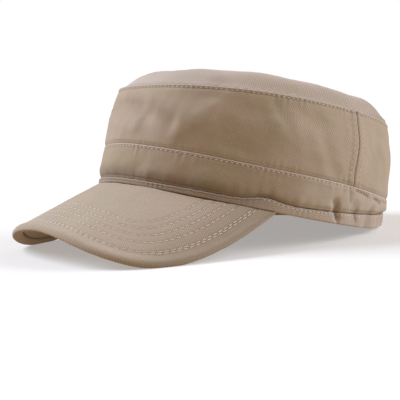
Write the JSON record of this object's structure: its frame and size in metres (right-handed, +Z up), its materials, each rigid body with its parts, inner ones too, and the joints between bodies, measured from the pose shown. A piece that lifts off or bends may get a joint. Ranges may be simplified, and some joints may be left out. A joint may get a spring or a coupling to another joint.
{
  "type": "field cap",
  "caption": "Cotton twill field cap with a low flat crown, a wide gathered band, a bound hem and a curved, topstitched peak, resting on its hem and peak.",
  "frame": {"origin": "on the surface that the cap rests on, in the middle of its plan", "axes": "+Z up, the peak points to -Y, the wearer's left is +X"},
  "size_m": [0.1656, 0.2544, 0.1053],
  "materials": {
    "crown_twill": "khaki cotton twill, matte, softly creased",
    "band_twill": "khaki cotton twill, matte, gathered at the back",
    "binding_twill": "khaki cotton twill binding, matte",
    "peak_twill": "khaki cotton twill, matte, in stitched rows",
    "peak_under_twill": "khaki cotton twill, matte"
  },
  "bodies": {
    "root": {"crown_top": "crown_twill", "side_panel": "crown_twill", "back_panel": "crown_twill", "band": "band_twill", "hem": "binding_twill", "peak_upper": "peak_twill", "peak_under": "peak_under_twill"}
  },
  "joints": []
}
